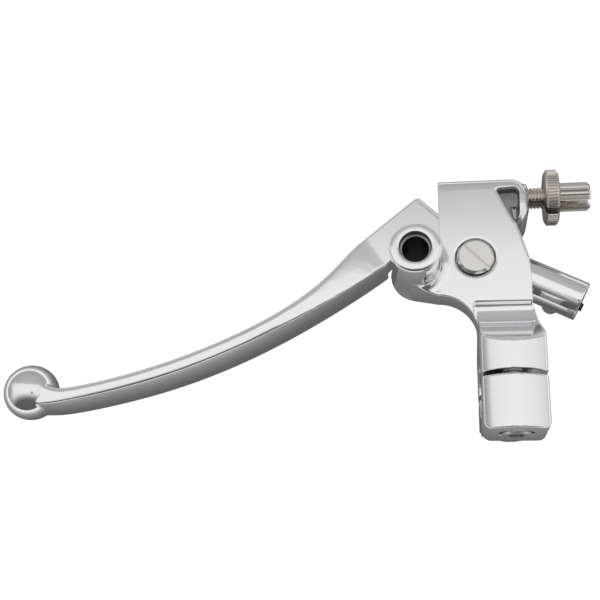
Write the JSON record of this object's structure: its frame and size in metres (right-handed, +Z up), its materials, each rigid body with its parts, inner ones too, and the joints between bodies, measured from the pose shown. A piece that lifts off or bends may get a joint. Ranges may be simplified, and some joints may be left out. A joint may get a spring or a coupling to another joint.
{
  "type": "motorcycle clutch lever",
  "caption": "Left-hand chrome clutch lever on its handlebar perch, with mirror boss, clamp cap, knurled cable adjuster and clutch switch.",
  "frame": {"origin": "on the handlebar's axis, at the middle of the clamp's width", "axes": "+X along the handlebar towards its centre, +Y away from the rider, +Z up along the pivot axis"},
  "size_m": [0.217, 0.1021, 0.0576],
  "materials": {
    "perch_chrome": "mirror chrome plate over die casting",
    "cap_chrome": "mirror chrome plate",
    "lever_chrome": "mirror chrome plate over cast aluminium",
    "pivot_steel": "turned and nickel plated",
    "bolt_steel": "zinc plated",
    "adjuster_nickel": "knurled, nickel plated",
    "bronze": "sintered bronze",
    "switch_plastic": "moulded black",
    "plunger_plastic": "natural acetal",
    "spring_steel": "drawn wire",
    "terminal_brass": "stamped",
    "cover_rubber": "moulded",
    "insert_nylon": "moulded nylon"
  },
  "bodies": {
    "perch": {"perch_body": "perch_chrome", "clamp_cap": "cap_chrome", "clamp_bolts": "bolt_steel", "clamp_spring_washers": "bolt_steel", "pivot_washer": "bolt_steel", "pivot_screw": "pivot_steel", "pivot_nut": "bolt_steel", "pivot_nut_insert": "insert_nylon", "switch_housing": "switch_plastic", "switch_spring": "spring_steel", "switch_contact_base": "switch_plastic", "switch_terminals": "terminal_brass", "switch_end_cover": "cover_rubber", "switch_retaining_screw": "bolt_steel"},
    "lever": {"lever": "lever_chrome", "pivot_bush": "bronze"},
    "plunger": {"switch_plunger": "plunger_plastic", "switch_contact_plate": "terminal_brass"},
    "barrel": {"adjuster_barrel": "adjuster_nickel"},
    "lock_wheel": {"adjuster_lock_wheel": "adjuster_nickel"}
  },
  "joints": [
    {"name": "lever_pivot", "type": "hinge", "parent": "perch", "child": "lever", "pos_m": [-0.011, 0.04585, 0], "axis": [0, 0, 1], "range_deg": [-25, 0]},
    {"name": "plunger_slide", "type": "slide", "parent": "perch", "child": "plunger", "axis": [0.891, -0.454, 0], "range_m": [0, 0.0016]},
    {"name": "adjuster_travel", "type": "slide", "parent": "perch", "child": "barrel", "axis": [1, 0, 0], "range_m": [-0.005, 0.003]},
    {"name": "lock_wheel_turn", "type": "hinge", "parent": "barrel", "child": "lock_wheel", "pos_m": [0.0175, 0.07285, 0], "axis": [1, 0, 0], "continuous": true}
  ],
  "couplings": [
    {"joint": "plunger_slide", "follows": "lever_pivot", "m_per_rad": -0.00366}
  ]
}
